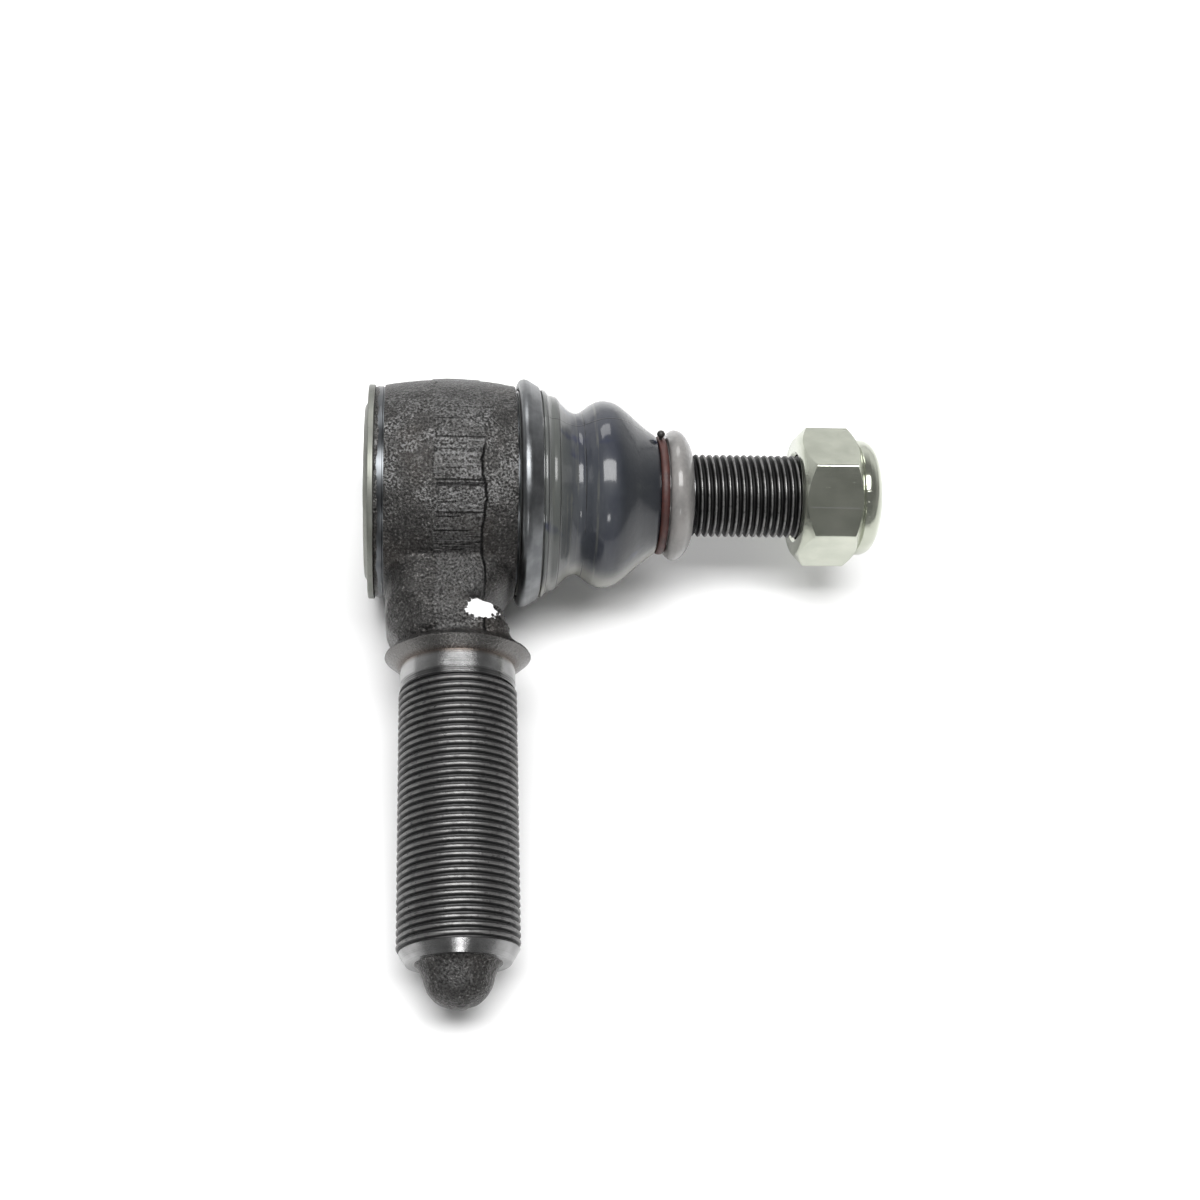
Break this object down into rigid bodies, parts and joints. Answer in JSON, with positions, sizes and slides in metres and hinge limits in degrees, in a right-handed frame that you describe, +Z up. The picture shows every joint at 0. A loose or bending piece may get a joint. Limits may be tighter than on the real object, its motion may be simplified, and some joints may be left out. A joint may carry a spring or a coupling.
{
  "type": "tie rod end",
  "caption": "Steering ball joint with a male threaded shank, a side ball stud in a translucent dust boot and a self-locking nut.",
  "frame": {"origin": "centre of the ball, where the stud axis and the shank axis cross", "axes": "+X along the stud towards its nut, -Y along the shank towards its tip, +Z up with the part lying on its side"},
  "size_m": [0.11, 0.1347, 0.0486],
  "materials": {
    "forged_steel": "dark grey forged steel, fine grain, machined where it is turned or threaded",
    "pressed_steel": "satin pressed steel with turning marks",
    "spring_steel": "blued spring steel",
    "seat_plastic": "off-white bearing plastic",
    "stud_steel": "dark oiled steel with bright thread crests",
    "boot_rubber": "translucent grey-blue elastomer over dark grease",
    "clamp_steel": "satin grey steel",
    "band_rubber": "red-brown rubber, semi-matt",
    "knob_rubber": "black rubber",
    "zinc_plate": "bright zinc plate with a pale yellow-green cast",
    "nylon": "natural nylon"
  },
  "bodies": {
    "housing": {"housing": "forged_steel", "end_cap": "pressed_steel", "preload_spring": "spring_steel", "rear_ball_seat": "seat_plastic", "front_ball_seat": "seat_plastic"},
    "boot": {"dust_boot": "boot_rubber", "boot_clamp_ring": "clamp_steel"},
    "boot_lip": {"boot_band_ring": "band_rubber", "band_ring_knob": "knob_rubber"},
    "stud": {"ball_stud": "stud_steel"},
    "nut_ring": {"nylon_insert": "nylon"},
    "nut": {"lock_nut": "zinc_plate"}
  },
  "joints": [
    {"name": "swing_direction", "type": "hinge", "parent": "housing", "child": "boot", "pos_m": [0, 0, 0], "axis": [1, 0, 0], "continuous": true},
    {"name": "stud_swing", "type": "hinge", "parent": "boot", "child": "boot_lip", "pos_m": [0, 0, 0], "axis": [0, 0, 1], "range_deg": [-20, 20], "deforming": ["dust_boot"]},
    {"name": "stud_spin", "type": "hinge", "parent": "boot_lip", "child": "stud", "pos_m": [0, 0, 0], "axis": [1, 0, 0], "continuous": true},
    {"name": "nut_travel", "type": "slide", "parent": "stud", "child": "nut_ring", "axis": [1, 0, 0], "range_m": [-0.018, 0.012]},
    {"name": "nut_turn", "type": "hinge", "parent": "nut_ring", "child": "nut", "pos_m": [0.08, 0, 0], "axis": [1, 0, 0], "range_deg": [-4321, 2881]}
  ],
  "couplings": [
    {"joint": "nut_turn", "follows": "nut_travel", "rad_per_m": 4188.8}
  ]
}
